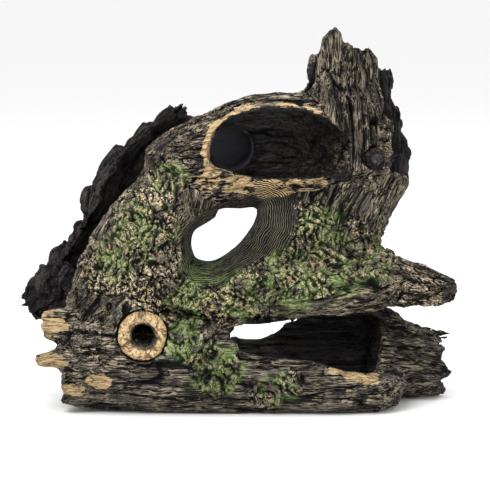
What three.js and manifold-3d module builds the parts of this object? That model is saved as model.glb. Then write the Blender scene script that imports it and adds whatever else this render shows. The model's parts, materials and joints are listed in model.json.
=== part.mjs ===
// Resin cave ornament: driftwood logs glued into one hide for a pond or aquarium.
// Millimetres, +Z up, front towards -Y, origin under the middle of the bounding box.
import * as THREE from "three";
import { ParametricGeometry } from "three/addons/geometries/ParametricGeometry.js";
import { mergeVertices } from "three/addons/utils/BufferGeometryUtils.js";
import Module from "manifold-3d";

const wasm = await Module();
wasm.setup();

// Size to build. The stations further down are written for the drawn size and stretch with it.
const size = { width: 180, height: 150, depth: 75 };
const drawn = { width: 180.4, height: 150, depth: 72 };

// Walls, joints and small features.
const glueGap = 0.3;
const wall = 5;
const pegRadius = 2.6;
const pegLength = 5;
const barkDepth = 0.9;
const eyeWidth = 27;
const eyeHeight = 24;
const eyeFlare = 0.75;
const caveWall = 5.5;
const knotRadius = 9.6;
const knotBoreRadius = 4.8;
const knotBoreDepth = 13;
const knotStandOut = 3.4;
const knotSeat = 4;
const twigRadius = 4.2;
const twigStandOut = 5;
const twigSeat = 4;
const airBoreRadius = 8.6;
const airBoreDepth = 19;

// Drawn position to built position: x across, z up, y towards the back.
const place = (x, z, y) =>
  new THREE.Vector3(
    (x * size.width) / drawn.width,
    (y * size.depth) / drawn.depth,
    (z * size.height) / drawn.height
  );

// A closed three.js surface becomes a solid that can be joined and cut.
function solidFrom(geometry) {
  geometry.deleteAttribute("normal");
  geometry.deleteAttribute("uv");
  const merged = mergeVertices(geometry, 1e-4);
  const corners = merged.index.array;
  const kept = [];
  for (let i = 0; i < corners.length; i += 3) {
    const [a, b, c] = [corners[i], corners[i + 1], corners[i + 2]];
    if (a !== b && b !== c && c !== a) kept.push(a, b, c);
  }
  return new wasm.Manifold(
    new wasm.Mesh({
      numProp: 3,
      vertProperties: new Float32Array(merged.attributes.position.array),
      triVerts: new Uint32Array(kept),
    })
  );
}

// Bark furrows run along a limb and wander a little round it.
const furrow = (angle, run, lobes, seed) =>
  0.6 * Math.cos(lobes * angle + 0.9 * Math.sin(5 * run + seed) + seed) +
  0.4 * Math.cos((lobes - 4) * angle - 2.5 * run + 2 * seed);

// Broken ends are ragged.
const splinter = (angle, seed) =>
  0.6 * Math.cos(5 * angle + seed) + 0.4 * Math.cos(9 * angle - 2 * seed);

// A limb follows stations [x, z, y, half breadth in the XZ plane, half depth].
// grow moves its whole skin outwards, or inwards if it is negative.
function limb(stations, options = {}) {
  const { grow = 0, lobes = 9, bark = barkDepth, seed = 0, around = 30, along = 12 } = options;
  const { ragStart = 0, ragEnd = 0, squareness = 1 } = options;
  const spine = new THREE.CatmullRomCurve3(
    stations.map(([x, z, y]) => new THREE.Vector3(x, y, z))
  );
  const girth = new THREE.CatmullRomCurve3(
    stations.map(([, , , breadth, deep]) => new THREE.Vector3(breadth, deep, 0))
  );
  const rings = along + 2;
  const backwards = new THREE.Vector3(0, 1, 0);
  const soften = (value) => Math.sign(value) * Math.abs(value) ** squareness;
  const skin = (u, v, target) => {
    const row = Math.round(v * rings);
    const run = THREE.MathUtils.clamp((row - 1) / along, 0, 1);
    const centre = spine.getPoint(run);
    const forward = spine.getTangent(run);
    const side = new THREE.Vector3().crossVectors(forward, backwards).normalize();
    const half = girth.getPoint(run);
    const angle = -2 * Math.PI * (u % 1);
    const middle = place(centre.x, centre.z, centre.y);
    const heading = place(forward.x, forward.z, forward.y).normalize();
    const ends = THREE.MathUtils.smoothstep(run, 0.8, 1) - THREE.MathUtils.smoothstep(0.2 - run, 0, 0.2);
    const overshoot = run === 1 ? grow : run === 0 ? -grow : 0;
    if (row === 0 || row === rings) {
      target.copy(middle).addScaledVector(heading, overshoot);
      return;
    }
    const rough = bark * furrow(angle, run, lobes, seed);
    const rim = centre
      .clone()
      .addScaledVector(side, (half.x + rough) * soften(Math.cos(angle)))
      .addScaledVector(backwards, (half.y + rough) * soften(Math.sin(angle)));
    const skinPoint = place(rim.x, rim.z, rim.y);
    const outwards = skinPoint.clone().sub(middle).normalize();
    const rag = splinter(angle, seed) * (ends > 0 ? ragEnd * ends : -ragStart * ends);
    target
      .copy(skinPoint)
      .addScaledVector(outwards, grow)
      .addScaledVector(heading, overshoot + rag);
  };
  return solidFrom(new ParametricGeometry(skin, around, rings));
}

// A flat outline in drawn X and Z, run from one depth to another.
function slab(outline, front, back) {
  const corners = outline.map(([x, z]) => {
    const spot = place(x, z, 0);
    return new THREE.Vector2(spot.x, spot.z);
  });
  const [near, far] = [place(0, 0, front).y, place(0, 0, back).y];
  const geometry = new THREE.ExtrudeGeometry(new THREE.Shape(corners), {
    depth: far - near,
    bevelEnabled: false,
  });
  geometry.rotateX(Math.PI / 2);
  geometry.translate(0, far, 0);
  return solidFrom(geometry);
}

// A round bar centred on a spot, along a direction.
function bar(spot, direction, radius, length, sides = 20) {
  const geometry = new THREE.CylinderGeometry(radius, radius, length, sides);
  const turn = new THREE.Quaternion().setFromUnitVectors(
    new THREE.Vector3(0, 1, 0),
    direction.clone().normalize()
  );
  geometry.applyQuaternion(turn);
  geometry.translate(spot.x, spot.y, spot.z);
  return solidFrom(geometry);
}

// A turned shape whose profile is [radius, distance along the axis].
function turned(profile, spot, direction, sides = 28) {
  const points = profile.map(([radius, along]) => new THREE.Vector2(radius, along));
  const geometry = new THREE.LatheGeometry(points, sides);
  const turn = new THREE.Quaternion().setFromUnitVectors(
    new THREE.Vector3(0, 1, 0),
    direction.clone().normalize()
  );
  geometry.applyQuaternion(turn);
  geometry.translate(spot.x, spot.y, spot.z);
  return solidFrom(geometry);
}

// The eye shaped window: narrow in the middle of the wood, wide at both faces.
function eyeHole() {
  const rings = 10;
  const reach = 40;
  const centre = [-6.7, 66.6];
  const lids = new THREE.CatmullRomCurve3(
    [
      [-0.5, -0.12],
      [-0.44, 0.1],
      [-0.22, 0.26],
      [0.14, 0.42],
      [0.5, 0.52],
      [0.5, 0.3],
      [0.36, 0.02],
      [0.22, -0.16],
      [-0.12, -0.44],
      [-0.4, -0.42],
    ].map(([across, up]) => new THREE.Vector3(across * eyeWidth, 0, up * eyeHeight)),
    true
  );
  const skin = (u, v, target) => {
    const row = Math.round(v * rings);
    const run = THREE.MathUtils.clamp((row - 1) / (rings - 2), 0, 1);
    const depthShare = 2 * run - 1;
    const open = 1 + eyeFlare * Math.abs(depthShare) ** 2.2 * (reach / 20);
    const middle = place(centre[0], centre[1], depthShare * reach);
    const edge = lids.getPoint(u % 1);
    if (row === 0 || row === rings) target.copy(middle);
    else target.set(middle.x + edge.x * open, middle.y, middle.z + edge.z * open);
  };
  return solidFrom(new ParametricGeometry(skin, 26, rings));
}

// Everything below the floor the ornament stands on.
const belowFloor = slab([[-200, -60], [200, -60], [200, 0], [-200, 0]], -100, 100);

// Outer skins, each also usable grown by the glue gap to cope the neighbour that meets it.
const baseSkin = (grow = 0) =>
  limb(
    [
      [-68, 18, 0, 20, 29],
      [-50, 18, 0, 23.5, 34],
      [-10, 17, 0, 24.5, 35.5],
      [35, 16, 0, 24, 35.5],
      [58, 14, 0, 22, 33],
      [66, 12, -1, 15, 26],
    ],
    { grow, seed: 1, lobes: 11, squareness: 0.74, around: 34, along: 12, ragStart: 3 }
  );

const stubStations = [
  [[-58, 31.5, -17, 8.5, 8], [-70, 33, -18, 8, 7], [-78.5, 33.5, -19, 5.6, 5.5]],
  [[-58, 22, -22, 5.5, 6], [-70, 21.5, -24, 4.8, 5.5], [-81, 20, -25, 2.4, 3]],
  [[-56, 12.5, -23, 5, 6], [-65, 12, -25, 4.4, 5], [-70.5, 12, -26, 3, 3.5]],
  [[-56, 5, -24, 4.5, 6], [-65, 5, -26, 3.8, 5], [-70, 5, -27, 2.2, 3]],
];

// The base log with the broken stubs at its left end.
function baseBody(grow = 0) {
  let body = baseSkin(grow);
  stubStations.forEach((stations, i) => {
    const rough = { grow, seed: i, bark: 0.3, around: 14, along: 4, lobes: 5 };
    body = body.add(limb(stations, rough));
  });
  return body;
}

const logEndSkin = (grow = 0) =>
  limb(
    [
      [55, 17, 8, 15.5, 20],
      [65, 15, 8, 15.5, 20],
      [75, 14, 8, 14.2, 19],
      [83.5, 13.5, 8, 13, 18],
    ],
    { grow, seed: 2, lobes: 9, around: 26, along: 6, ragEnd: 3 }
  );

const trunkSkin = (grow = 0) =>
  limb(
    [
      [-50, 16, -6, 20, 24],
      [-47, 42, -6, 22, 25],
      [-40, 62, -5, 20, 23],
      [-27, 80, -4, 18.5, 20],
      [-24, 94, -2, 13, 15],
    ],
    { grow, seed: 3, lobes: 10, bark: 1.1, around: 28, along: 9 }
  );

const bridgeSkin = (grow = 0) =>
  limb(
    [
      [-38, 47, -3, 10, 20],
      [-18, 48, -3, 13.5, 28],
      [5, 48, -3, 13.5, 31],
      [30, 49, -3, 12.5, 31],
      [54, 50, -3, 12, 27],
      [63, 50, -3, 9, 20],
    ],
    { grow, seed: 4, lobes: 11, squareness: 0.85, around: 30, along: 10 }
  );

const postSkin = (grow = 0) =>
  limb(
    [
      [30, 48, 0, 26, 24],
      [26, 62, 0, 29, 23],
      [34.5, 82, 0, 27, 19],
      [43.5, 101, 0, 28.5, 14],
    ],
    { grow, seed: 5, lobes: 10, bark: 1.1, around: 28, along: 8 }
  );

const upperSkin = (grow = 0) =>
  limb(
    [
      [-37, 95, -1, 6, 9],
      [-29, 96.5, -1, 12, 15],
      [-17, 97, -1, 17.3, 18],
      [-3, 98.3, 0, 21.2, 21.5],
      [12, 101.5, 0, 23, 22],
      [26, 101.5, 0, 22.5, 22],
      [44, 101, 1, 20, 18],
      [60, 99, 2, 14, 13],
    ],
    { grow, seed: 6, lobes: 9, around: 28, along: 11 }
  );

const stumpSkin = (grow = 0) =>
  limb(
    [
      [43, 94, 0, 17, 20.5],
      [42.5, 112, 0, 17.5, 19],
      [42.5, 132, 1, 15, 15],
      [42, 156, 1, 13, 12],
    ],
    { grow, seed: 7, lobes: 10, bark: 1.3, around: 28, along: 8 }
  );

const stumpBackSkin = (grow = 0) =>
  limb(
    [
      [53, 88, 9, 17, 18],
      [53, 105, 10, 16.5, 16],
      [53.5, 121, 11, 15.5, 13],
      [51, 142, 11, 13.5, 11],
    ],
    { grow, seed: 8, lobes: 8, bark: 1.1, around: 24, along: 7 }
  );

const leanerSkin = (grow = 0) =>
  limb(
    [
      [-88, 34, 14, 7, 8],
      [-72.5, 45, 15, 11.5, 13],
      [-56.5, 62.5, 17, 13.2, 15],
      [-49, 82, 18, 14.5, 16],
      [-36.5, 96, 17, 12, 15],
      [-27, 105.5, 16, 11.5, 13],
      [-17.5, 112.5, 15, 10.5, 11],
    ],
    { grow, seed: 9, lobes: 9, bark: 1.3, around: 26, along: 11, ragEnd: 2 }
  );

const branchSkin = (grow = 0) =>
  limb(
    [
      [42, 49.5, -8, 8, 11],
      [59, 50, -9, 10.6, 13],
      [72, 47.6, -10, 7.8, 10],
      [83, 45.8, -10, 5.4, 6.2],
      [87, 45.5, -10, 3.8, 4],
    ],
    { grow, seed: 10, lobes: 8, around: 22, along: 9, ragEnd: 1.5 }
  );

// Hollows.
const chamber = () =>
  limb(
    [
      [-27, 22, 0, 8, 18],
      [-14, 21, 0, 14.5, 28],
      [12, 20.5, 0, 15, 35.5 - caveWall],
      [44, 20, 0, 14.5, 35.5 - caveWall],
      [60, 20, 4, 13, 22],
    ],
    { seed: 11, bark: 0.5, squareness: 0.85, around: 26, along: 8 }
  );

const mouthOutline = [
  [-4, 30],
  [0, 26],
  [9, 23],
  [20, 22.8],
  [34, 20.4],
  [37, 18.6],
  [41, 17],
  [54, 15.2],
  [64, 12.4],
  [80, 11],
  [80, 64],
  [31, 64],
  [27, 36.5],
  [10, 34.5],
  [-3, 34],
];

const rearDoorOutline = [
  [-22, 19],
  [-12, 17.5],
  [-3, 19.5],
  [4, 18.3],
  [11, 20],
  [16, 22.5],
  [25, 29],
  [26, 35],
  [10, 37],
  [-12, 36],
  [-22, 30],
];

const denHollow = () =>
  limb(
    [
      [-10, 102, 0, 12, 13],
      [0, 102.5, -1, 16, 16],
      [20, 102.5, -3, 16.5, 15],
      [38, 101, -10, 12, 11],
      [50, 99, -17, 7, 6],
    ],
    { seed: 12, bark: 0.5, around: 22, along: 8 }
  );

const denOutline = [
  [-11, 95],
  [-12.5, 103],
  [-10, 110],
  [-2, 116.5],
  [10, 119.5],
  [24, 118.5],
  [36, 114],
  [43, 107],
  [43, 99],
  [36, 94],
  [26, 91.5],
  [12, 91.5],
  [0, 93.5],
];

const airBore = () => bar(place(-4, 101, 8), new THREE.Vector3(0, 1, 0), airBoreRadius, 2 * airBoreDepth, 24);

const stumpHollow = () =>
  limb(
    [
      [47, 108, 7, 9, 8],
      [47, 122, 8, 10, 8.5],
      [46, 140, 8, 9, 8],
      [45, 160, 8, 9, 8],
    ],
    { seed: 13, bark: 0.5, around: 18, along: 6 }
  );

const leanerHollow = () =>
  limb(
    [
      [-68, 51, 7, 6.5, 11],
      [-54, 65, 8, 10, 15],
      [-45, 84, 10, 10.5, 15.5],
      [-34, 99, 10, 9.5, 14.5],
      [-12, 117, 9, 7, 11.5],
    ],
    { seed: 14, bark: 0.5, around: 22, along: 8 }
  );

// A jagged broken edge: everything above the outline goes.
const above = (edge, front, back) =>
  slab([...edge, [edge[edge.length - 1][0], 200], [edge[0][0], 200]], front, back);

const stumpBreak = [
  [10, 118],
  [25, 121],
  [27.6, 133],
  [29, 140],
  [32.5, 137],
  [33.8, 146],
  [36.6, 150],
  [40.4, 149],
  [42, 144],
  [46, 143],
  [49, 141],
  [52, 143.5],
  [55.4, 138],
  [55.6, 127],
  [58.4, 121],
  [80, 116],
];

const stumpBackBreak = [
  [20, 124],
  [30, 131],
  [37, 126],
  [45, 135],
  [52, 130],
  [56, 133],
  [62.4, 131],
  [62.8, 119],
  [66, 117],
  [65.4, 107],
  [80, 100],
];

// A peg and the socket it is glued into.
const peg = (x, z, y, direction) => bar(place(x, z, y), direction, pegRadius, 2 * pegLength);
const socket = (x, z, y, direction) =>
  bar(place(x, z, y), direction, pegRadius + glueGap, 2 * (pegLength + glueGap));
const up = new THREE.Vector3(0, 0, 1);
const frontwards = new THREE.Vector3(0, -1, 0);

const trunkOnBase = [-50, 41, -4, up];
const trunkInUpper = [-27, 86, -2, up];
const postOnBridge = [30, 60, 4, up];
const postInUpper = [52, 86, 3, up];
const leanerOnBase = [-63.5, 40, 15, up];
const stumpBackOnPost = [65, 97, 8, up];
const branchInBridge = [62, 50, -8, new THREE.Vector3(1, 0, 0)];
const stumpOnUpper = [41, 121, -2, up];
const knotSpot = () => place(-38, 31, -31.5);
const twigSpot = () => place(53.5, 99.5, -16);
const seat = (spot, radius, depth) =>
  bar(spot, frontwards, radius + glueGap, 2 * (depth + glueGap), 28);
const knotSeatCut = () => seat(knotSpot(), knotRadius, knotSeat);
const twigSeatCut = () => seat(twigSpot(), twigRadius, twigSeat);

function baseLog() {
  const knotBore = bar(knotSpot(), frontwards, knotBoreRadius, 2 * knotBoreDepth);
  return baseBody()
    .subtract(chamber())
    .subtract(slab(mouthOutline, -80, -4))
    .subtract(slab(rearDoorOutline, 2, 80))
    .subtract(logEndSkin(glueGap))
    .subtract(knotBore)
    .subtract(knotSeatCut())
    .subtract(socket(...trunkOnBase))
    .subtract(socket(...leanerOnBase))
    .subtract(belowFloor);
}

function logEnd() {
  const bore = limb(
    [
      [40, 18, 8, 15.5 - wall, 20 - wall],
      [65, 17, 8, 16 - wall, 20 - wall],
      [95, 16, 8, 15 - wall, 19 - wall],
    ],
    { seed: 2, bark: 0.5, around: 24, along: 6 }
  );
  return logEndSkin().subtract(bore).subtract(belowFloor);
}

const trunk = () =>
  trunkSkin()
    .subtract(baseBody(glueGap))
    .subtract(upperSkin(glueGap))
    .subtract(eyeHole())
    .subtract(knotSeatCut())
    .add(peg(...trunkOnBase))
    .add(peg(...trunkInUpper));

const bridge = () =>
  bridgeSkin()
    .subtract(baseBody(glueGap))
    .subtract(trunkSkin(glueGap))
    .subtract(eyeHole())
    .subtract(socket(...postOnBridge))
    .subtract(socket(...branchInBridge));

const post = () =>
  postSkin()
    .subtract(bridgeSkin(glueGap))
    .subtract(upperSkin(glueGap))
    .subtract(eyeHole())
    .subtract(socket(...stumpBackOnPost))
    .add(peg(...postOnBridge))
    .add(peg(...postInUpper));

// The boss behind the upper log that closes the air bore's blind end.
function airBoss(grow = 0) {
  const radius = airBoreRadius + wall + grow;
  const length = airBoreDepth + wall + grow;
  return turned(
    [[0, 0], [radius, 0], [radius, length - 4], [radius - 2, length], [0, length]],
    place(-4, 101, 8),
    new THREE.Vector3(0, 1, 0),
    24
  );
}

const upperLog = () =>
  upperSkin()
    .add(airBoss())
    .subtract(denHollow())
    .subtract(slab(denOutline, -60, -3))
    .subtract(airBore())
    .subtract(eyeHole())
    .subtract(socket(...trunkInUpper))
    .subtract(socket(...postInUpper))
    .subtract(socket(...stumpOnUpper))
    .subtract(twigSeatCut());

const stumpFront = () =>
  stumpSkin()
    .subtract(above(stumpBreak, -80, 80))
    .subtract(slab([[0, 60], [90, 60], [90, 170], [0, 170]], 6, 80))
    .subtract(slab([[57.5, 60], [95, 60], [95, 170], [57.5, 170]], -4, 80))
    .subtract(stumpHollow())
    .subtract(upperSkin(glueGap))
    .subtract(postSkin(glueGap))
    .subtract(slab(denOutline, -60, 20))
    .subtract(twigSeatCut())
    .add(peg(...stumpOnUpper));

const stumpBack = () =>
  stumpBackSkin()
    .subtract(above(stumpBackBreak, -80, 80))
    .subtract(stumpHollow())
    .subtract(slab([[40, 101], [90, 97], [90, 170], [40, 170]], -80, 5))
    .subtract(upperSkin(glueGap))
    .subtract(postSkin(glueGap))
    .subtract(stumpSkin(glueGap))
    .add(peg(...stumpBackOnPost));

const leaner = () =>
  leanerSkin()
    .subtract(leanerHollow())
    .subtract(baseBody(glueGap))
    .subtract(trunkSkin(glueGap))
    .subtract(upperSkin(glueGap))
    .subtract(airBoss(glueGap))
    .add(peg(...leanerOnBase));

const branch = () =>
  branchSkin()
    .subtract(bridgeSkin(glueGap))
    .subtract(postSkin(glueGap))
    .add(peg(...branchInBridge));

// The knot is a ring round a blind bore.
const knot = () =>
  turned(
    [
      [knotBoreRadius, -knotSeat],
      [knotRadius, -knotSeat],
      [knotRadius, knotStandOut * 0.4],
      [knotRadius - 1.6, knotStandOut],
      [knotBoreRadius + 1.8, knotStandOut * 0.8],
      [knotBoreRadius, knotStandOut * 0.2],
      [knotBoreRadius, -knotSeat],
    ],
    knotSpot(),
    frontwards
  );

const twig = () =>
  turned(
    [
      [0, -twigSeat],
      [twigRadius, -twigSeat],
      [twigRadius, twigStandOut - 1.4],
      [twigRadius - 1, twigStandOut],
      [twigRadius - 1.8, twigStandOut - 1.2],
      [0, twigStandOut - 1.6],
    ],
    twigSpot(),
    frontwards,
    20
  );

const pieces = [
  { name: "base_log", solid: baseLog(), color: 0x3e3b36 },
  { name: "log_end", solid: logEnd(), color: 0x2b2a26 },
  { name: "leaning_trunk", solid: trunk(), color: 0x5f6348 },
  { name: "bridge_log", solid: bridge(), color: 0x595946 },
  { name: "right_post", solid: post(), color: 0x51553e },
  { name: "upper_log", solid: upperLog(), color: 0x484240 },
  { name: "stump_front", solid: stumpFront(), color: 0x494440 },
  { name: "stump_back", solid: stumpBack(), color: 0x1e1d1e },
  { name: "rear_leaning_log", solid: leaner(), color: 0x262424 },
  { name: "side_branch", solid: branch(), color: 0x5d564b },
  { name: "knot_collar", solid: knot(), color: 0xac936d },
  { name: "twig_stub", solid: twig(), color: 0x222220 },
];

const ornament = new THREE.Group();
ornament.name = "cave_ornament";
for (const { name, solid, color } of pieces) {
  const { vertProperties, triVerts } = solid.getMesh();
  const geometry = new THREE.BufferGeometry();
  geometry.setAttribute("position", new THREE.BufferAttribute(vertProperties, 3));
  geometry.setIndex(new THREE.BufferAttribute(triVerts, 1));
  geometry.computeVertexNormals();
  const finish = new THREE.MeshStandardMaterial({ color, roughness: 0.75, metalness: 0 });
  const mesh = new THREE.Mesh(geometry, finish);
  mesh.name = name;
  ornament.add(mesh);
}

const box = new THREE.Box3().setFromObject(ornament);
const shift = box.getCenter(new THREE.Vector3());
for (const mesh of ornament.children) mesh.geometry.translate(-shift.x, -shift.y, -box.min.z);

export default ornament;
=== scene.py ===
import json
import math
from types import SimpleNamespace

import bpy
import numpy as np
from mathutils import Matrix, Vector
from mathutils.bvhtree import BVHTree

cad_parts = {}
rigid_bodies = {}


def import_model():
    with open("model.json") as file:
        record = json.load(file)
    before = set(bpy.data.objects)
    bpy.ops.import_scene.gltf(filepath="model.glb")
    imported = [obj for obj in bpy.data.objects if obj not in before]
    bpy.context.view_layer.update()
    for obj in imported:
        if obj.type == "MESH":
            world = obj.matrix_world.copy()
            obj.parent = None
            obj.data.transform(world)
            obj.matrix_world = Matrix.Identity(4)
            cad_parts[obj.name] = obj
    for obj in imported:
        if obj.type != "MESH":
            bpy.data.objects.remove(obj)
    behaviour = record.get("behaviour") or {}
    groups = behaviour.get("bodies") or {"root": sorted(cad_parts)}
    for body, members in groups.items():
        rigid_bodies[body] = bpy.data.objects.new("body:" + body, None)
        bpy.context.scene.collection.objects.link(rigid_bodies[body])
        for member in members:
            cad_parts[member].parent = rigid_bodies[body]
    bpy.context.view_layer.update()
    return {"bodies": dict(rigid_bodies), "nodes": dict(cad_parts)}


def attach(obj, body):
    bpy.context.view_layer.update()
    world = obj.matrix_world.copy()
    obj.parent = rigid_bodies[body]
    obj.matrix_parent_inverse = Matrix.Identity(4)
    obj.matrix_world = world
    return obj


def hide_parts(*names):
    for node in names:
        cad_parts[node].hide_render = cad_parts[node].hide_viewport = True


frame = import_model()
perMetre = 1000.0


# Noise in plain arrays: the same numbers on every run. Each pattern has its own seed.
seeds = {
    "swell": 900, "swellFine": 901, "crustPatch": 310, "moss": 320, "mossBreak": 321, "rim": 340,
    "tanPatch": 350, "tips": 351, "bareWood": 352, "rimEdge": 353, "eyeReach": 410, "crumbs": 500,
}


def scramble(x, y, z, seed):
    salt = np.uint32((seed * 3266489917 + 12345) % 2**32)
    h = (
        x.astype(np.uint32) * np.uint32(374761393)
        + y.astype(np.uint32) * np.uint32(668265263)
        + z.astype(np.uint32) * np.uint32(2246822519)
        + salt
    )
    h = (h ^ (h >> np.uint32(13))) * np.uint32(1274126177)
    h = (h ^ (h >> np.uint32(15))) * np.uint32(2654435761)
    return h ^ (h >> np.uint32(16))


def fieldNoise(p, seed=0):
    low = np.floor(p)
    f = p - low
    cell = low.astype(np.int64)
    u = f * f * f * (f * (f * 6 - 15) + 10)
    total = np.zeros(len(p))
    for corner in range(8):
        step = (corner & 1, corner >> 1 & 1, corner >> 2)
        h = scramble(*(cell[:, a] + step[a] for a in range(3)), seed)
        dot = np.zeros(len(p))
        weight = np.ones(len(p))
        for a in range(3):
            slope = (h >> np.uint32(10 * a) & np.uint32(1023)) / 511.5 - 1
            dot += slope * (f[:, a] - step[a])
            weight *= u[:, a] if step[a] else 1 - u[:, a]
        total += dot * weight
    return total * 1.4


def cellField(p, seed=0):
    low = np.floor(p).astype(np.int64)
    f = p - low
    near = np.full(len(p), 9.0)
    second = near.copy()
    mark = np.zeros(len(p))
    for dx in (-1, 0, 1):
        for dy in (-1, 0, 1):
            for dz in (-1, 0, 1):
                h = scramble(low[:, 0] + dx, low[:, 1] + dy, low[:, 2] + dz, seed)
                gap = np.zeros(len(p))
                for a, step in enumerate((dx, dy, dz)):
                    spot = (h >> np.uint32(10 * a) & np.uint32(1023)) / 1023 + step
                    gap += (f[:, a] - spot) ** 2
                gap = np.sqrt(gap)
                closer = gap < near
                second = np.where(closer, near, np.minimum(second, gap))
                mark = np.where(closer, (h >> np.uint32(7) & np.uint32(255)) / 255, mark)
                near = np.where(closer, gap, near)
    return near, second, mark


def ramp(value, low, high):
    t = np.clip((value - low) / (high - low), 0, 1)
    return t * t * (3 - 2 * t)


# Meshes as arrays, in millimetres.
def pointsOf(mesh):
    found = np.empty(len(mesh.vertices) * 3, np.float32)
    mesh.vertices.foreach_get("co", found)
    return found.reshape(-1, 3).astype(float) * perMetre


def normalsOf(mesh):
    found = np.empty(len(mesh.vertices) * 3, np.float32)
    mesh.vertices.foreach_get("normal", found)
    return found.reshape(-1, 3).astype(float)


def setPoints(mesh, points):
    mesh.vertices.foreach_set("co", (points / perMetre).astype(np.float32).ravel())
    mesh.update()


def setMask(mesh, name, values):
    layer = mesh.attributes.new(name, "FLOAT", "POINT")
    layer.data.foreach_set("value", values.astype(np.float32))


def only(piece):
    bpy.ops.object.select_all(action="DESELECT")
    piece.select_set(True)
    bpy.context.view_layer.objects.active = piece


def applyModifier(piece, kind, **values):
    only(piece)
    modifier = piece.modifiers.new(kind.title(), kind)
    for key, value in values.items():
        setattr(modifier, key, value)
    bpy.ops.object.modifier_apply(modifier=modifier.name)


def voxels(piece, size):
    applyModifier(piece, "REMESH", mode="VOXEL", voxel_size=size / perMetre, use_smooth_shade=True)


def soften(piece, factor, times):
    applyModifier(piece, "SMOOTH", factor=factor, iterations=times)


def copyOf(node, name):
    mesh = frame["nodes"][node].data.copy()
    mesh.materials.clear()
    piece = bpy.data.objects.new(name, mesh)
    bpy.context.scene.collection.objects.link(piece)
    only(piece)
    bpy.ops.object.mode_set(mode="EDIT")
    bpy.ops.mesh.select_all(action="SELECT")
    bpy.ops.mesh.remove_doubles(threshold=2e-6)
    bpy.ops.object.mode_set(mode="OBJECT")
    return piece


# One skin over all the castings. Its smoothed creases show where glue and paint fill the joints.
blending = {"inflate": 0.22, "voxel": 1.0, "times": 36, "reach": 5.0}


def blendedSkin():
    copies = []
    for node in frame["nodes"]:
        copy = copyOf(node, "skinPart")
        setPoints(copy.data, pointsOf(copy.data) + normalsOf(copy.data) * blending["inflate"])
        copies.append(copy)
    only(copies[0])
    for copy in copies:
        copy.select_set(True)
    bpy.ops.object.join()
    skin = copies[0]
    voxels(skin, blending["voxel"])
    soften(skin, 0.5, blending["times"])
    points = pointsOf(skin.data)
    faces = [tuple(face.vertices) for face in skin.data.polygons]
    tree = BVHTree.FromPolygons([Vector(p) for p in points], faces)
    bpy.data.objects.remove(skin)
    return tree


skinTree = blendedSkin()
print("skin ready")


def nearSkin(points):
    hits = np.zeros_like(points)
    facing = np.zeros_like(points)
    gap = np.full(len(points), 99.0)
    for i, point in enumerate(points):
        hit, normal, _, distance = skinTree.find_nearest(point, 12.0)
        if hit is not None:
            hits[i] = hit
            facing[i] = normal
            gap[i] = distance
    return hits, facing, gap


# How far a point belongs to the outer skin: 1 where it faces the same way close by.
def exposure(normals, facing, gap, reach):
    agree = (normals * facing).sum(1)
    return ramp(agree, 0.0, 0.55) * (1 - ramp(gap, 0.6 * reach, reach))


# A log's own frame: the run along it, the place across it, and the way out from its spine.
def alongSpine(points, spine):
    spine = np.array(spine, float)
    best = np.full(len(points), 1e9)
    run = np.zeros(len(points))
    across = np.zeros((len(points), 2))
    radial = np.zeros_like(points)
    length = 0.0
    straight = spine[-1] - spine[0]
    deepest = abs(straight[1]) > 0.9 * np.linalg.norm(straight)
    back = np.array((0.0, 0.0, 1.0) if deepest else (0.0, 1.0, 0.0))
    for a, b in zip(spine[:-1], spine[1:]):
        ab = b - a
        size = np.linalg.norm(ab)
        t = ((points - a) @ ab) / size**2
        held = np.clip(t, 0, 1)
        foot = a + held[:, None] * ab
        away = points - foot
        gap = np.linalg.norm(away, axis=1)
        forward = ab / size
        side = np.cross(forward, back)
        side /= np.linalg.norm(side)
        deep = np.cross(side, forward)
        low = 0 if np.array_equal(a, spine[0]) else 1
        high = 0 if np.array_equal(b, spine[-1]) else 1
        beyond = np.where(t > 1, held + (t - 1) * (1 - high), t)
        reachRun = length + size * np.where(t < 0, t * (1 - low), beyond)
        plane = np.stack([away @ side, away @ deep], 1)
        better = gap < best
        run = np.where(better, reachRun, run)
        across = np.where(better[:, None], plane, across)
        radial = np.where(better[:, None], away / np.maximum(gap, 1e-6)[:, None], radial)
        best = np.where(better, gap, best)
        length += size
    return run, across, radial


# Distance across X and Z to a closed outline.
def outlineGap(points, outline):
    corners = np.array(outline, float)
    flat = points[:, (0, 2)]
    best = np.full(len(points), 1e9)
    for a, b in zip(corners, np.roll(corners, -1, axis=0)):
        ab = b - a
        t = np.clip(((flat - a) @ ab) / (ab @ ab), 0, 1)
        best = np.minimum(best, np.linalg.norm(flat - a - t[:, None] * ab, axis=1))
    return best


# Soft round patches at places given as X, Z and radius. A flat factor over 1 makes them low and long.
def spots(points, places, flat=1.0):
    total = np.zeros(len(points))
    for x, z, radius in places:
        gap = ((points[:, 0] - x) ** 2 + (flat * (points[:, 2] - z)) ** 2) / radius**2
        total = np.maximum(total, np.exp(-(gap**1.5)))
    return total


# Relief patterns, each about 0 in the grooves and 1 on the ridges.
def ledges(value, count):
    scaled = value * count
    floor = np.floor(scaled)
    return (floor + ramp(scaled - floor, 0.7, 1.0)) / count


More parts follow.
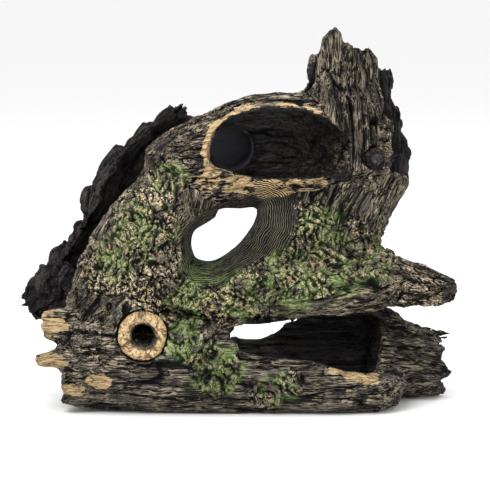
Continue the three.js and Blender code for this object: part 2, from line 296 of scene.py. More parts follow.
def woodGrain(run, across, width, length, seed):
    q = np.column_stack([run / length + seed, across / width])
    bend = fieldNoise(q * (0.8, 0.3, 0.3), seed + 1)
    q = q + np.column_stack([bend * 0.3, bend * 0.9, bend * 0.7])
    wide = np.abs(fieldNoise(q * (0.8, 0.5, 0.5), seed + 2))
    fine = np.abs(fieldNoise(q * (1.4, 1.2, 1.2), seed + 3))
    deep = np.abs(fieldNoise(q * (0.55, 0.3, 0.3), seed + 4))
    split = ledges(0.5 + 0.5 * fieldNoise(q * (0.5, 0.42, 0.42), seed + 6), 4)
    ridge = 0.34 * ramp(wide, 0.0, 0.3) + 0.2 * ramp(fine, 0.0, 0.3) + 0.2 * ramp(deep, 0.0, 0.12)
    return ridge + 0.38 * split, 1 - ramp(deep, 0.004, 0.03)


# Crust grows in clumps, each with its own ribs, a raised rim and a crease round it. Sizes in millimetres.
crusting = {"clump": 9.0, "rib": 2.9, "worm": 2.8, "lean": 0.35, "spread": 1.8, "rise": 2.3, "seed": 330}


def clumps(points):
    size = crusting["clump"]
    warp = np.column_stack([fieldNoise(points / size, crusting["seed"] + k) for k in (1, 2, 3)])
    near, second, mark = cellField(points / size + 0.35 * warp, crusting["seed"])
    border = second - near
    height = (0.55 + 0.45 * mark) * np.sqrt(np.clip(1 - near**2, 0, 1))
    return height * (0.35 + 0.65 * ramp(border, 0.0, 0.3)), border, mark


def crust(points):
    size, seed = crusting["worm"], crusting["seed"]
    height, border, mark = clumps(points)
    angle = crusting["lean"] + (mark - 0.5) * crusting["spread"]
    along = points[:, 0] * np.cos(angle) + points[:, 2] * np.sin(angle)
    sway = fieldNoise(points / 4.0, seed + 5) * 0.9 + fieldNoise(points / 1.8, seed + 6) * 0.35
    ribs = np.abs(np.sin(math.pi * (along / crusting["rib"] + sway)))
    worms = 1 - ramp(np.abs(fieldNoise(points / size, seed + 8)), 0.02, 0.28)
    crumbs = fieldNoise(points / 0.8, seed + 9)
    rim = ramp(border, 0.0, 0.06) * (1 - ramp(border, 0.12, 0.3))
    rim = rim * ramp(fieldNoise(points / 5.0, seed + 7) + 0.5, 0.1, 0.5)
    relief = 0.44 * ramp(ribs, 0.25, 0.95) + 0.3 * worms + 0.4 * rim + 0.06 + 0.24 * crumbs
    relief = relief * (0.4 + 0.6 * ramp(border, 0.0, 0.07))
    near, second, mark = cellField(points / 2.7, seed + 10)
    pits = ramp(mark, 0.86, 0.88) * (1 - ramp(near, 0.14, 0.28))
    return np.clip(relief, 0, 1), pits, height


eyeOutline = [
    (-16.5, 63.6), (-15.5, 68.5), (-10.2, 73), (-0.2, 76.8), (9.5, 79), (9.5, 73.8),
    (5.7, 67.1), (1.9, 62.8), (-7.2, 56), (-14.8, 56.5),
]
denOutline = [
    (-8.5, 95), (-10, 103), (-7.5, 110), (0.5, 116.5), (12.5, 119.5), (26.5, 118.5),
    (38.5, 114), (45.5, 107), (45.5, 99), (38.5, 94), (28.5, 91.5), (14.5, 91.5), (2.5, 93.5),
]
mossPlaces = [
    (-26, 92, 8), (-36, 72, 13), (-47, 60, 10), (-12, 52, 13), (-22, 30, 11), (2, 46, 12),
    (22, 52, 14), (42, 58, 13), (55, 60, 10), (34, 72, 11), (-6, 18, 12), (-18, 44, 12), (17, 10, 9),
]
crustPlaces = [
    (-27, 90, 8), (-36, 74, 15), (-48, 57, 14), (-30, 50, 17), (-12, 46, 16), (8, 50, 13),
    (28, 58, 15), (46, 64, 12), (-18, 32, 13), (-8, 18, 11), (30, 72, 12), (12, 8, 7),
    (22, 13, 6), (56, 62, 9), (-35, 43, 10),
]
tanPlaces = [
    (-73, 34, 8), (-73, 20, 8), (-64, 9, 6), (-53, 13, 7), (47, 16, 6), (53, 14, 5), (40, 18, 4),
]


# Each casting: its node and finish, the line its grain follows, and how it is carved and painted, in
# millimetres. Some keys are for some pieces only. torn, jag and steps break up the ends and the skin. tips
# and strip say how far along X the wood is bare or smooth. eye, lip and rimmed bring in the window's
# grooves, the den's splintered lip and its tan rim. calm is the smooth bore (X, Z, radius), and litFloor is
# how much painted shade stays on upward faces in its hollow, lit from above. bore is a hole's radius.
# darkTip darkens the branch's end. A free piece isn't blended into the others, and stretch scales its
# painted grain.
castings = {
    "baseLog": {
        "node": "base_log", "slot": "grainBark", "finish": "grainBark", "voxel": 0.68,
        "spine": [(-66, -0.3, 17), (70, -0.3, 16)],
        "width": 1.9, "length": 34, "depth": 2.1, "lumps": 1.1, "crust": 1.0, "moss": 1.0, "tan": 0.45,
        "seed": 10,
        "torn": 1.6, "tips": 71,
    },
    "logEnd": {
        "node": "log_end", "slot": "grainBark", "finish": "grainBark", "voxel": 0.45,
        "spine": [(57, 8, 17), (86, 8, 14.5)],
        "width": 2.2, "length": 24, "depth": 2.5, "lumps": 0.8, "crust": 0.0, "moss": 0.0, "tan": 0.3,
        "seed": 20,
        "torn": 0.7, "strip": 62.5,
    },
    "leaningTrunk": {
        "node": "leaning_trunk", "slot": "mossBark", "finish": "mossBark", "voxel": 0.42,
        "spine": [
            (-86, -9, 30), (-62, -8, 36), (-47, -6, 48),
            (-38, -5.5, 62), (-24.5, -4.5, 80), (-21, -2.4, 96),
        ],
        "width": 2.0, "length": 20, "depth": 1.8, "lumps": 1.6, "crust": 1.0, "moss": 1.0, "tan": 0.5,
        "seed": 30,
        "eye": True,
    },
    "bridgeLog": {
        "node": "bridge_log", "slot": "mossBark", "finish": "mossBark", "voxel": 0.45,
        "spine": [(-36, -3.4, 47), (66, -3.4, 50)],
        "width": 2.0, "length": 26, "depth": 1.8, "lumps": 1.5, "crust": 1.0, "moss": 1.0, "tan": 0.5,
        "seed": 40,
        "eye": True,
    },
    "rightPost": {
        "node": "right_post", "slot": "mossBark", "finish": "mossBark", "voxel": 0.42,
        "spine": [(32, -0.3, 46), (31, -0.3, 62), (38, -0.3, 82), (50, -0.3, 102)],
        "width": 1.9, "length": 28, "depth": 2.0, "lumps": 1.2, "crust": 1.0, "moss": 1.0, "tan": 0.38,
        "seed": 50,
        "eye": True,
    },
    "upperLog": {
        "node": "upper_log", "slot": "ridgeBark", "finish": "ridgeBark", "voxel": 0.5,
        "spine": [(-34, -1.3, 97), (-10, -0.8, 99.5), (20, -0.3, 101.5), (64, 1, 99)],
        "width": 1.9, "length": 26, "depth": 2.0, "lumps": 1.2, "crust": 0.8, "moss": 1.0, "tan": 0.6,
        "seed": 60,
        "eye": True, "litFloor": 0.15, "calm": (-1.4, 101, 8.6), "lip": True, "rimmed": True,
    },
    "stumpFront": {
        "node": "stump_front", "slot": "ridgeBark", "finish": "ridgeBark", "voxel": 0.38,
        "spine": [(45.5, -0.3, 92), (44.5, 0.5, 152)],
        "width": 3.0, "length": 32, "depth": 3.4, "lumps": 1.0, "crust": 0.0, "moss": 0.0, "tan": 0.36,
        "seed": 73,
        "torn": 2.2, "rimmed": True,
    },
    "stumpBack": {
        "node": "stump_back", "slot": "darkBark", "finish": "darkBark", "voxel": 0.42,
        "spine": [(55.5, 9, 86), (53.5, 11, 134)],
        "width": 2.4, "length": 24, "depth": 2.2, "lumps": 1.0, "crust": 0.0, "moss": 0.0, "tan": 0.06,
        "seed": 80,
        "torn": 3.0, "jag": 1.2,
    },
    "rearLeaningLog": {
        "node": "rear_leaning_log", "slot": "darkBark", "finish": "darkBark", "voxel": 0.45,
        "spine": [
            (-85, 14, 34), (-70.5, 15, 46), (-54.5, 17, 62),
            (-47, 18, 82), (-35.5, 17, 97.5), (-17, 15, 111.5),
        ],
        "width": 2.8, "length": 34, "depth": 2.8, "lumps": 0.8, "crust": 0.0, "moss": 0.0, "tan": 0.22,
        "seed": 90,
        "torn": 2.0, "jag": 0.7, "steps": 3.2,
    },
    "sideBranch": {
        "node": "side_branch", "slot": "ridgeBark", "finish": "ridgeBark", "voxel": 0.35,
        "spine": [(46, -8.6, 50), (61.5, -9.7, 50.5), (76, -10.7, 48), (90, -10.7, 44.5)],
        "width": 1.7, "length": 24, "depth": 1.8, "lumps": 0.8, "crust": 0.8, "moss": 1.0, "tan": 0.85,
        "seed": 100,
        "torn": 2.0, "darkTip": 0.9,
    },
    "knotCollar": {
        "node": "knot_collar", "slot": "tanWood", "finish": "tanWood", "voxel": 0.4,
        "spine": [(-35.5, -42, 31), (-35.5, -24, 31)],
        "width": 2.2, "length": 5, "depth": 0.3, "lumps": 0.7, "crust": 0.0, "moss": 0.0, "tan": 1.5,
        "seed": 110,
        "bore": 5.0, "free": True, "stretch": 0.3,
    },
    "twigStub": {
        "node": "twig_stub", "slot": "darkBark", "finish": "darkBark", "voxel": 0.3,
        "spine": [(56, -26, 99.5), (56, -12, 99.5)],
        "width": 1.6, "length": 5, "depth": 0.3, "lumps": 0.2, "crust": 0.0, "moss": 0.0, "tan": 0.15,
        "seed": 120,
        "bore": 1.8, "free": True,
    },
}


def spineHeading(points, spine):
    spine = np.array(spine, float)
    first = spine[1] - spine[0]
    last = spine[-1] - spine[-2]
    nearFirst = np.linalg.norm(points - spine[0], axis=1) < np.linalg.norm(points - spine[-1], axis=1)
    return np.where(nearFirst[:, None], first / np.linalg.norm(first), last / np.linalg.norm(last))


# The cast shape with its joints filled and its big forms: lumps, furrows, clumps and torn ends.
def roughOut(piece, look):
    mesh = piece.data
    points = pointsOf(mesh)
    normals = normalsOf(mesh)
    hits, facing, gap = nearSkin(points)
    seen = exposure(normals, facing, gap, blending["reach"])
    if look.get("free"):
        hits = points
        seen = np.ones(len(points))
    shift = hits - points
    outwards = (shift * normals).sum(1)
    points = points + shift * (np.where(outwards > 0, 1.0, 0.3) * seen)[:, None]
    run, across, radial = alongSpine(points, look["spine"])
    swell = fieldNoise(points / 13.0, seeds["swell"]) * 0.9
    swell = swell + fieldNoise(points / 6.0, seeds["swellFine"]) * 0.5
    furrow, _ = woodGrain(run, across, look["width"] * 2.2, look["length"] * 1.9, look["seed"])
    crusty = crustAmount(points, look)
    eye = eyeAmount(points, look)
    rise = look["lumps"] * swell * (1 - 0.7 * eye)
    rise = rise + 0.8 * look["depth"] * (furrow - 0.75) * (1 - crusty) * (1 - eye)
    rise = rise + crusting["rise"] * (clumps(points)[0] - 0.45) * crusty * (1 - eye)
    notches = fieldNoise(np.column_stack([run / 5.5, across / 9.0]), look["seed"] + 8)
    rise = rise + look.get("jag", 0.0) * (ledges(0.5 + 0.5 * notches, 3) - 0.5) * 2
    climb = (run / 15 + 0.5 * fieldNoise(points / 11.0, look["seed"] + 10)) % 1
    rise = rise + look.get("steps", 0.0) * (climb - ramp(climb, 0.86, 1.0) - 0.4)
    points = points + normals * (rise * seen)[:, None]
    heading = spineHeading(points, look["spine"])
    atEnd = ramp(np.abs((normals * heading).sum(1)), 0.45, 0.8)
    torn = fieldNoise(np.column_stack([across / 3.0, run / 12.0]), look["seed"] + 9)
    points = points + heading * (look.get("torn", 0.0) * torn * atEnd * seen)[:, None]
    setPoints(mesh, points)


# Where the crust grows.
def crustAmount(points, look):
    patchy = spots(points, crustPlaces) + 0.35 * fieldNoise(points / 6.0, seeds["crustPatch"])
    return look["crust"] * ramp(patchy, 0.35, 0.55)


# Bare tan wood: the broken tips of the base and the left rim of the den.
def bareAmount(points, look):
    bare = np.zeros(len(points))
    if look.get("tips"):
        patch = spots(points, tanPlaces, 2.2) + 0.4 * fieldNoise(points / (5.0, 3.0, 1.6), seeds["tanPatch"])
        tips = ramp(-points[:, 0], look["tips"], look["tips"] + 2) * ramp(points[:, 2], 15, 18)
        tips = tips * ramp(0.32 + fieldNoise(points / 3.0, seeds["tips"]), 0.1, 0.3)
        bare = np.maximum(ramp(patch, 0.5, 0.62) * ramp(-points[:, 1], 0, 5), tips)
    if look.get("rimmed"):
        edge = outlineGap(points, denOutline) + 1.2 * fieldNoise(points / 3.0, seeds["rimEdge"])
        leftSide = ramp(-points[:, 0] + 1, 0, 5) * ramp(points[:, 2], 93, 96)
        leftSide = leftSide * (1 - ramp(points[:, 2], 112, 117))
        bare = (1 - ramp(edge, 2.6, 3.6)) * leftSide * ramp(-points[:, 1], 4, 8)
    return bare


# The grooved band round the window, wider on its right.
def eyeAmount(points, look):
    if not look.get("eye"):
        return np.zeros(len(points))
    gap = outlineGap(points, eyeOutline)
    toTheRight = ramp(points[:, 0], 2, 10) * ramp(points[:, 2], 56, 66)
    reach = 5.6 + 1.8 * fieldNoise(points / 8.0, seeds["eyeReach"]) + 8.0 * toTheRight
    return 1 - ramp(gap, 0.75 * reach, 1.15 * reach)


# What lies at each point of a piece before it is carved.
def survey(piece, look):
    points = pointsOf(piece.data)
    normals = normalsOf(piece.data)
    _, facing, gap = nearSkin(points)
    shown = ramp((normals * facing).sum(1), -0.1, 0.4) * (1 - ramp(gap, 5.0, 7.5))
    if look.get("free"):
        shown = np.ones(len(points))
    run, across, radial = alongSpine(points, look["spine"])
    # Faces turned towards the spine, or into a hole: less relief and moss there, and painted shade.
    inward = 1 - ramp((normals * radial).sum(1), -0.35, 0.25)
    if look.get("bore"):
        inward = 1 - ramp(np.hypot(across[:, 0], across[:, 1]), look["bore"], look["bore"] + 0.8)
    eye = eyeAmount(points, look)
    return SimpleNamespace(
        points=points,
        normals=normals,
        shown=shown,
        run=run,
        across=across,
        inward=inward,
        eye=eye,
        eyeGap=outlineGap(points, eyeOutline) + 0.35 * np.abs(points[:, 1]),
        crusted=crustAmount(points, look) * (1 - inward) * (1 - eye),
        bare=bareAmount(points, look),
        strip=np.zeros(len(points)),
        smooth=np.zeros(len(points)),
        boreReach=None,
        crumbs=fieldNoise(points / 0.9, seeds["crumbs"]) * 0.5 + 0.5,
    )


# The den's lip is splintered on a slant; the log end has a smooth strip beside its joint.
lipping = {"top": 96.5, "along": 0.8, "over": 0.6, "width": 1.9, "length": 12}


def grainAt(at, look):
    seed = look["seed"]
    grain, cracks = woodGrain(at.run, at.across, look["width"], look["length"], seed + 5)
    if look.get("lip"):
        along, over = lipping["along"], lipping["over"]
        slant = np.column_stack([at.across[:, 0] * along - at.run * over, at.across[:, 1]])
        slantRun = at.run * along + at.across[:, 0] * over
        splinters, _ = woodGrain(slantRun, slant, lipping["width"], lipping["length"], seed + 15)
        onLip = ramp(lipping["top"] - at.points[:, 2], 0, 3) * ramp(-at.points[:, 1], 5, 10)
        grain = grain + (splinters - grain) * onLip
    if look.get("strip"):
        at.strip = 1 - ramp(at.points[:, 0], look["strip"], look["strip"] + 1.5)
        mottled = 0.7 + 0.3 * fieldNoise(at.points / 2.0, seed + 16)
        grain = grain + (mottled - grain) * at.strip
    return grain, cracks


# The fine relief, and the points moved by it.
def carveRelief(at, look):
    at.grain, cracks = grainAt(at, look)
    crusty, pits, at.height = crust(at.points)
    relief = at.grain * (1 - at.crusted) + crusty * at.crusted
    scraped = 0.78 + 0.12 * fieldNoise(at.points / 1.5, seeds["bareWood"])
    at.relief = relief + (scraped - relief) * 0.75 * at.bare
    at.dents = cracks * (1 - at.crusted) * (1 - at.bare) + pits * at.crusted
    if look.get("calm"):
        x, z, radius = look["calm"]
        at.boreReach = np.hypot(at.points[:, 0] - x, at.points[:, 2] - z)
        inBore = ramp(at.points[:, 1], 2, 5) * (1 - ramp(at.points[:, 1], 29.5, 30.5))
        at.smooth = (1 - ramp(at.boreReach, radius, radius + 0.8)) * inBore
    rise = look["depth"] * (at.relief - 0.8) + 0.3 * (at.crumbs - 0.5) - 0.5 * look["depth"] * at.dents
    rise = rise * np.where(at.inward > 0.5, 0.5, 1.0) * (1 - 0.85 * at.eye) * (1 - at.smooth)
    points = at.points + at.normals * (rise * at.shown)[:, None]
    points[:, 2] = np.maximum(points[:, 2], 0.0)
    return points


def mossAt(points, at, look):
    patches = spots(points, mossPlaces) + 0.45 * fieldNoise(points / 5.0, seeds["moss"])
    moss = look["moss"] * ramp(patches, 0.35, 0.75)
    broken = ramp(fieldNoise(points / 8.0, seeds["mossBreak"]) + 0.4, 0, 0.4)
    worn = 1 - 0.45 * at.crusted * ramp(at.height, 0.4, 0.8) * broken
    return moss * (1 - 0.2 * at.eye) * worn * (1 - at.bare)


# The tan rim round the den's mouth.
def rimAt(points):
    low = ramp(lipping["top"] - points[:, 2], 0, 3)
    rim = 1 - ramp(outlineGap(points, denOutline), 1.2 + 4.5 * low, 3.4 + 6.0 * low)
    rim = rim * ramp(-points[:, 1], 5, 10) * ramp(40 - points[:, 0], 0, 10)
    return low, rim * ramp(fieldNoise(points / (9.0, 4.0, 3.0), seeds["rim"]) + 0.35, 0.0, 0.3)


# The masks that the paint reads, the painted shade in the hollows among them.
def paintMasks(mesh, points, at, look):
    moss = mossAt(points, at, look)
    tan = (look["tan"] + at.crusted * (0.2 + 0.54 * ramp(at.height, 0.2, 0.7))) * (1 - 0.72 * at.eye)
    tan = tan + 0.5 * at.strip
    tan = tan * (1 - look.get("darkTip", 0.0) * ramp(points[:, 0], 82, 85))
    tan = tan + 1.6 * at.bare
    if look.get("rimmed"):
        low, rim = rimAt(points)
        tan = tan + rim * (0.9 + 1.0 * low + 0.5 * at.grain)
        moss = moss * (1 - rim)
    if look.get("tips"):
        tan = tan + 0.35 * ramp(-points[:, 0], 38, 55) * ramp(points[:, 2], 8, 16)
    # Painted shade in the hollows: inward faces go dark; upward faces there, lit from above, keep only
    # litFloor of it.
    dark = at.inward * np.where(at.normals[:, 2] > 0.3, look.get("litFloor", 1.0), 1.0)
    # In the den the painted shade fades towards the right and on the bore's lighter right rim.
    if look.get("calm"):
        x, _, radius = look["calm"]
        boreEdge = np.exp(-(((at.boreReach - radius - 0.5) / 0.6) ** 2)) * ramp(points[:, 0], x, x + 6)
        dark = dark * (1 - 0.75 * ramp(points[:, 0], 12, 36)) * (1 - 0.8 * boreEdge)
    relief = np.clip(at.relief - 0.4 * at.dents, 0, 1) * at.shown
    setMask(mesh, "relief", relief * (1 - at.eye) + 0.66 * at.eye)
    setMask(mesh, "crumbs", at.crumbs)
    setMask(mesh, "moss", moss * (1 - at.inward))
    setMask(mesh, "dryBrush", tan * (1 - 0.9 * at.inward))
    setMask(mesh, "paintedShade", np.clip(dark, 0, 1))
    setMask(mesh, "crusted", at.crusted)
    setMask(mesh, "eye", at.eye)
    setMask(mesh, "eyeLine", at.eyeGap)
    setMask(mesh, "smooth", at.smooth)
    flow = np.column_stack([at.run + 40 * look["seed"], at.across]) * look.get("stretch", 1.0)
    place = mesh.attributes.new("grainPlace", "FLOAT_VECTOR", "POINT")
    place.data.foreach_set("vector", flow.astype(np.float32).ravel())


# The first remesh is no finer than this.
roughVoxel = 0.9


def carve(name, look):
    piece = copyOf(look["node"], name)
    voxels(piece, max(roughVoxel, look["voxel"]))
    soften(piece, 0.5, 2)
    roughOut(piece, look)
    voxels(piece, look["voxel"] * (1.0))
    at = survey(piece, look)
    points = carveRelief(at, look)
    setPoints(piece.data, points)
    paintMasks(piece.data, points, at, look)
    only(piece)
    bpy.ops.object.shade_smooth()
    piece.data.materials.append(finishes[look["finish"]])
    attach(piece, "root")
    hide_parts(look["node"])
    print("carved", name, len(piece.data.polygons))
    return piece


# Shader building.
def socketIn(group, name, kind):
    group.interface.new_socket(name=name, in_out="INPUT", socket_type=kind)


def addNode(tree, kind, **values):
    made = tree.nodes.new(kind)
    for key, value in values.items():
        setattr(made, key, value)
    return made


def feed(tree, target, value):
    if isinstance(value, bpy.types.NodeSocket):
        tree.links.new(value, target)
    else:
        target.default_value = value


def compute(tree, operation, a, b=0.0, clamp=False):
    made = addNode(tree, "ShaderNodeMath", operation=operation, use_clamp=clamp)
    feed(tree, made.inputs[0], a)
    feed(tree, made.inputs[1], b)
    return made.outputs[0]


def between(tree, value, low, high, start=0.0, end=1.0):
    made = addNode(tree, "ShaderNodeMapRange", interpolation_type="SMOOTHSTEP")
    feed(tree, made.inputs["Value"], value)
    for key, number in (("From Min", low), ("From Max", high), ("To Min", start), ("To Max", end)):
        feed(tree, made.inputs[key], number)
    return made.outputs["Result"]


def mixColor(tree, factor, a, b, blend="MIX"):
    made = addNode(tree, "ShaderNodeMix", data_type="RGBA", blend_type=blend)
    feed(tree, made.inputs["Factor"], factor)
    feed(tree, made.inputs["A"], a)
    feed(tree, made.inputs["B"], b)
    return made.outputs["Result"]


def noiseAt(tree, place, scale, detail=3.0, rough=0.6):
    made = addNode(tree, "ShaderNodeTexNoise")
    tree.links.new(place, made.inputs["Vector"])
    made.inputs["Scale"].default_value = scale
    made.inputs["Detail"].default_value = detail
    made.inputs["Roughness"].default_value = rough
    return made.outputs["Fac"]


# A colour given as 0 to 255 on screen.
def paint(red, green, blue):
    def linear(value):
        value /= 255
        return value / 12.92 if value <= 0.04045 else ((value + 0.055) / 1.055) ** 2.4

    return (linear(red), linear(green), linear(blue), 1.0)


def scaled(tree, vector, x, y, z):
    made = addNode(tree, "ShaderNodeVectorMath", operation="MULTIPLY")
    tree.links.new(vector, made.inputs[0])
    made.inputs[1].default_value = (x, y, z)
    return made.outputs[0]


# Where a noise crosses its middle: a dark thread (0 in it, 1 beside it) and a lit edge along it.
def threads(tree, place, detail, width):
    fog = noiseAt(tree, place, 1.0, detail, 0.6)
    away = compute(tree, "ABSOLUTE", compute(tree, "SUBTRACT", fog, 0.5))
    dark = between(tree, away, 0.0, width)
    inner = between(tree, away, 0.6 * width, 1.3 * width)
    outer = between(tree, away, 1.5 * width, 2.6 * width, 1.0, 0.0)
    return dark, compute(tree, "MULTIPLY", inner, outer)


def blend(tree, factor, a, b):
    made = addNode(tree, "ShaderNodeMix", data_type="FLOAT")
    feed(tree, made.inputs["Factor"], factor)
    feed(tree, made.inputs["A"], a)
    feed(tree, made.inputs["B"], b)
    return made.outputs["Result"]


# Patterns are finer for a higher number. Grain and curls have one for each axis.
painting = {
    "speckle": 1500.0, "patch": 170.0, "broad": 45.0, "wander": 160.0, "grit": 2600.0, "chips": 420.0,
    "fineGrain": (0.075, 1.2, 1.2), "coarseGrain": (0.03, 0.5, 0.5), "curls": (520.0, 520.0, 430.0),
    # Rings round the window; how far moss and the painted shade in the hollows reach; colours, among them
    # the dark and pale painted shade in the hollows and the smooth bore's grey.
    "rings": 1.05, "ringSway": 3.2, "mossCover": 0.9, "paintedShadeCover": 0.85,
    "bareWood": paint(196, 168, 126), "mossLight": paint(104, 130, 66), "mossDark": paint(38, 49, 27),
    "paintedShadeDark": paint(11, 11, 12), "paintedShadePale": paint(92, 89, 88), "boreGrey": paint(88, 88, 94),
}
maskNames = {
    "Relief": "relief", "Crumbs": "crumbs", "Moss": "moss", "Dry Brush": "dryBrush", "Painted Shade": "paintedShade",
    "Crusted": "crusted", "Eye": "eye", "Eye Line": "eyeLine", "Smooth": "smooth",
}


def paintGroup():
    group = bpy.data.node_groups.new("paintLayers", "ShaderNodeTree")
    for name in ("Body", "Groove", "Ridge", "Bare Wood", "Moss Light", "Moss Dark"):
        socketIn(group, name, "NodeSocketColor")
    for name in maskNames:
        socketIn(group, name, "NodeSocketFloat")
    socketIn(group, "Place", "NodeSocketVector")
    socketIn(group, "Grain", "NodeSocketVector")
    for name, kind in (("Color", "Color"), ("Roughness", "Float"), ("Height", "Float")):
        group.interface.new_socket(name=name, in_out="OUTPUT", socket_type="NodeSocket" + kind)
    return group


# Threads along the grain of the wood, rings round the window and curls on the crust, with their lit edges.
def surfaceDetail(group, given):
    place = given["Place"]
    fine, fineEdge = threads(group, scaled(group, given["Grain"], *painting["fineGrain"]), 3.0, 0.06)
    coarse, coarseEdge = threads(group, scaled(group, given["Grain"], *painting["coarseGrain"]), 3.0, 0.04)
    grain = compute(group, "MULTIPLY", blend(group, 0.7, 1.0, fine), blend(group, 0.9, 1.0, coarse))
    grainEdge = compute(group, "MAXIMUM", compute(group, "MULTIPLY", fineEdge, 0.8), coarseEdge)
    wander = noiseAt(group, place, painting["wander"], 3.0, 0.6)
    wander = compute(group, "MULTIPLY", wander, painting["ringSway"])
    turns = compute(group, "MULTIPLY", given["Eye Line"], painting["rings"])
    turns = compute(group, "MULTIPLY", compute(group, "ADD", turns, wander), math.pi)
    swing = compute(group, "ABSOLUTE", compute(group, "SINE", turns))
    rings = between(group, swing, 0.5, 1.0)
    curls, curlEdge = threads(group, scaled(group, place, *painting["curls"]), 2.0, 0.06)
    grit = between(group, noiseAt(group, place, painting["grit"], 2.0, 0.7), 0.3, 0.6)
    curly = compute(group, "MULTIPLY", blend(group, 0.6, 1.0, curls), blend(group, 0.3, 1.0, grit))
    detail = blend(group, given["Crusted"], grain, curly)
    lit = blend(group, given["Crusted"], grainEdge, curlEdge)
    lit = blend(group, given["Eye"], lit, compute(group, "MULTIPLY", rings, 0.8))
    detail = blend(group, given["Eye"], detail, rings)
    return blend(group, given["Smooth"], detail, 0.45), lit


# Dark grooves, then moss, then tan brushed over what stands up.
def brushedColor(group, given, relief, lit):
    patch = noiseAt(group, given["Place"], painting["patch"], 3.0, 0.6)
    color = mixColor(group, between(group, relief, 0.2, 0.82), given["Groove"], given["Body"])
    mossy = compute(group, "MULTIPLY", given["Moss"], between(group, patch, 0.4, 0.56), True)
    green = mixColor(group, between(group, relief, 0.1, 0.6), given["Moss Dark"], given["Moss Light"])
    color = mixColor(group, compute(group, "MULTIPLY", mossy, painting["mossCover"]), color, green)
    raised = compute(group, "ADD", relief, compute(group, "MULTIPLY", given["Crumbs"], 0.16))
    edging = compute(group, "MULTIPLY", compute(group, "SUBTRACT", lit, 0.35), 0.5)
    edge = between(group, compute(group, "ADD", raised, edging), 0.66, 1.0)
    worn = between(group, patch, 0.38, 0.62, 0.2, 1.3)
    thin = blend(group, compute(group, "MULTIPLY", mossy, 0.7), 1.0, 0.5)
    rubbed = compute(group, "MULTIPLY", edge, given["Dry Brush"])
    brushed = compute(group, "MULTIPLY", rubbed, compute(group, "MULTIPLY", worn, thin), True)
    return mixColor(group, brushed, color, given["Ridge"])


# Bare wood where there is the most tan, then broad stains over everything.
def stainedColor(group, given, relief, color):
    place = given["Place"]
    chips = compute(group, "MULTIPLY", noiseAt(group, place, painting["chips"], 3.0, 0.65), 1.6)
    solidTan = between(group, compute(group, "ADD", given["Dry Brush"], chips), 2.05, 2.25)
    solidTan = compute(group, "MULTIPLY", solidTan, between(group, relief, 0.16, 0.5))
    color = mixColor(group, solidTan, color, given["Bare Wood"])
    broad = noiseAt(group, place, painting["broad"], 2.0, 0.5)
    stain = between(group, broad, 0.32, 0.68, 0.72, 1.15)
    grey = addNode(group, "ShaderNodeCombineColor")
    for channel in ("Red", "Green", "Blue"):
        group.links.new(stain, grey.inputs[channel])
    return mixColor(group, 1.0, color, grey.outputs["Color"], "MULTIPLY")


# Painted shade inside the hollows, near black in the grooves and pale grey on what stands up; grey in the
# smooth bore.
def paintedShadeAndBore(group, given, relief, color):
    inside = mixColor(group, relief, painting["paintedShadeDark"], painting["paintedShadePale"])
    sunk = compute(group, "MULTIPLY", given["Painted Shade"], painting["paintedShadeCover"])
    deep = mixColor(group, sunk, color, inside)
    return mixColor(group, given["Smooth"], deep, painting["boreGrey"])


# All the paint: one group of colour, roughness and height, read by every finish.
def paintLayers():
    group = paintGroup()
    given = addNode(group, "NodeGroupInput").outputs
    result = addNode(group, "NodeGroupOutput")
    speckle = noiseAt(group, given["Place"], painting["speckle"], 2.0, 0.7)
    detail, lit = surfaceDetail(group, given)
    strength = blend(group, given["Eye"], 0.75, 0.92)
    relief = compute(group, "MULTIPLY", given["Relief"], blend(group, strength, 1.0, detail))
    specks = compute(group, "MULTIPLY", compute(group, "SUBTRACT", speckle, 0.5), 0.3)
    relief = compute(group, "ADD", relief, specks)
    color = brushedColor(group, given, relief, lit)
    color = stainedColor(group, given, relief, color)
    color = paintedShadeAndBore(group, given, relief, color)
    group.links.new(color, result.inputs["Color"])
    group.links.new(between(group, relief, 0.1, 0.9, 0.9, 0.62), result.inputs["Roughness"])
    height = compute(group, "ADD", detail, compute(group, "MULTIPLY", speckle, 0.35))
    height = blend(group, given["Smooth"], height, 0.5)
    group.links.new(height, result.inputs["Height"])
    return group


layers = paintLayers()
palettes = {
    "grainBark": {"Body": paint(64, 61, 57), "Groove": paint(8, 7, 7), "Ridge": paint(184, 170, 146)},
    "mossBark": {"Body": paint(74, 72, 65), "Groove": paint(11, 11, 9), "Ridge": paint(208, 190, 158)},
    "ridgeBark": {"Body": paint(45, 43, 43), "Groove": paint(8, 7, 7), "Ridge": paint(202, 184, 156)},
    "darkBark": {"Body": paint(34, 30, 34), "Groove": paint(5, 4, 5), "Ridge": paint(122, 108, 102)},
    "tanWood": {"Body": paint(158, 134, 98), "Groove": paint(104, 86, 62), "Ridge": paint(178, 152, 112)},
}


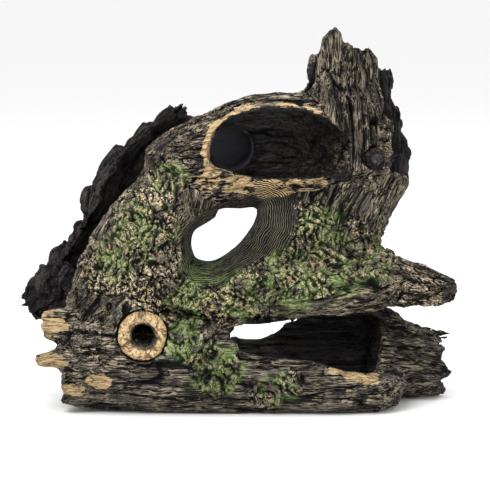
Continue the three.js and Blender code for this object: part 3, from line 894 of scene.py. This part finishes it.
def finish(name, palette):
    material = bpy.data.materials.new(name)
    material.use_nodes = True
    tree = material.node_tree
    shader = tree.nodes["Principled BSDF"]
    group = addNode(tree, "ShaderNodeGroup", node_tree=layers)
    for key, value in palette.items():
        group.inputs[key].default_value = value
    group.inputs["Bare Wood"].default_value = painting["bareWood"]
    group.inputs["Moss Light"].default_value = painting["mossLight"]
    group.inputs["Moss Dark"].default_value = painting["mossDark"]
    for target, mask in maskNames.items():
        reader = addNode(tree, "ShaderNodeAttribute", attribute_name=mask)
        tree.links.new(reader.outputs["Fac"], group.inputs[target])
    flow = addNode(tree, "ShaderNodeAttribute", attribute_name="grainPlace")
    tree.links.new(flow.outputs["Vector"], group.inputs["Grain"])
    place = addNode(tree, "ShaderNodeTexCoord")
    tree.links.new(place.outputs["Object"], group.inputs["Place"])
    bump = addNode(tree, "ShaderNodeBump")
    bump.inputs["Strength"].default_value = 0.8
    bump.inputs["Distance"].default_value = 0.0007
    tree.links.new(group.outputs["Height"], bump.inputs["Height"])
    tree.links.new(group.outputs["Color"], shader.inputs["Base Color"])
    tree.links.new(group.outputs["Roughness"], shader.inputs["Roughness"])
    tree.links.new(bump.outputs["Normal"], shader.inputs["Normal"])
    shader.inputs["Specular IOR Level"].default_value = 0.16
    return material


finishes = {name: finish(name, palette) for name, palette in palettes.items()}
print("finishes ready")

for name, look in castings.items():
    carve(name, look)


# Floor, light and camera.
studio = {
    "floor": 60.0, "floorTone": 0.97, "keyPower": 9.5, "fillPower": 2.2, "sky": 0.95,
    "distance": 0.85, "elevation": 7.0, "viewWidth": 0.19845, "aimRight": 0.00412, "aimUp": 0.06478,
    "sensor": 36,
}


def studioStage():
    only(next(iter(frame["bodies"].values())))
    bpy.ops.mesh.primitive_plane_add(size=studio["floor"], location=(0, 0, -0.0005))
    floor = bpy.context.active_object
    floor.name = "studioFloor"
    pale = bpy.data.materials.new("palePaper")
    pale.use_nodes = True
    shader = pale.node_tree.nodes["Principled BSDF"]
    shader.inputs["Base Color"].default_value = (*[studio["floorTone"]] * 3, 1)
    shader.inputs["Roughness"].default_value = 0.9
    floor.data.materials.append(pale)
    for label, size, power, place in (
        ("keyLight", 0.7, studio["keyPower"], (-0.35, -0.75, 0.95)),
        ("topLight", 0.8, studio["fillPower"] * 1.6, (0.15, 0.1, 1.1)),
        ("fillLight", 0.9, studio["fillPower"], (0.9, -0.7, 0.35)),
    ):
        data = bpy.data.lights.new(label, "AREA")
        data.shape = "DISK"
        data.size = size
        data.energy = power
        light = bpy.data.objects.new(label, data)
        bpy.context.scene.collection.objects.link(light)
        light.location = place
        aim = Vector((0, 0, 0.07)) - light.location
        light.rotation_euler = aim.to_track_quat("-Z", "Y").to_euler()
    world = bpy.data.worlds.new("studioSky")
    world.use_nodes = True
    bpy.context.scene.world = world
    world.node_tree.nodes["Background"].inputs["Color"].default_value = (1, 1, 1, 1)
    world.node_tree.nodes["Background"].inputs["Strength"].default_value = studio["sky"]


def frontCamera():
    data = bpy.data.cameras.new("frontCamera")
    camera = bpy.data.objects.new("frontCamera", data)
    bpy.context.scene.collection.objects.link(camera)
    tilt = math.radians(studio["elevation"])
    target = Vector((studio["aimRight"], 0, studio["aimUp"] / math.cos(tilt)))
    camera.location = target + Vector((0, -math.cos(tilt), math.sin(tilt))) * studio["distance"]
    camera.rotation_euler = (target - camera.location).to_track_quat("-Z", "Y").to_euler()
    data.sensor_width = studio["sensor"]
    data.lens = studio["sensor"] * studio["distance"] / studio["viewWidth"]
    bpy.context.scene.camera = camera


studioStage()
frontCamera()
bpy.context.scene.view_settings.view_transform = "Standard"
print("stage ready")
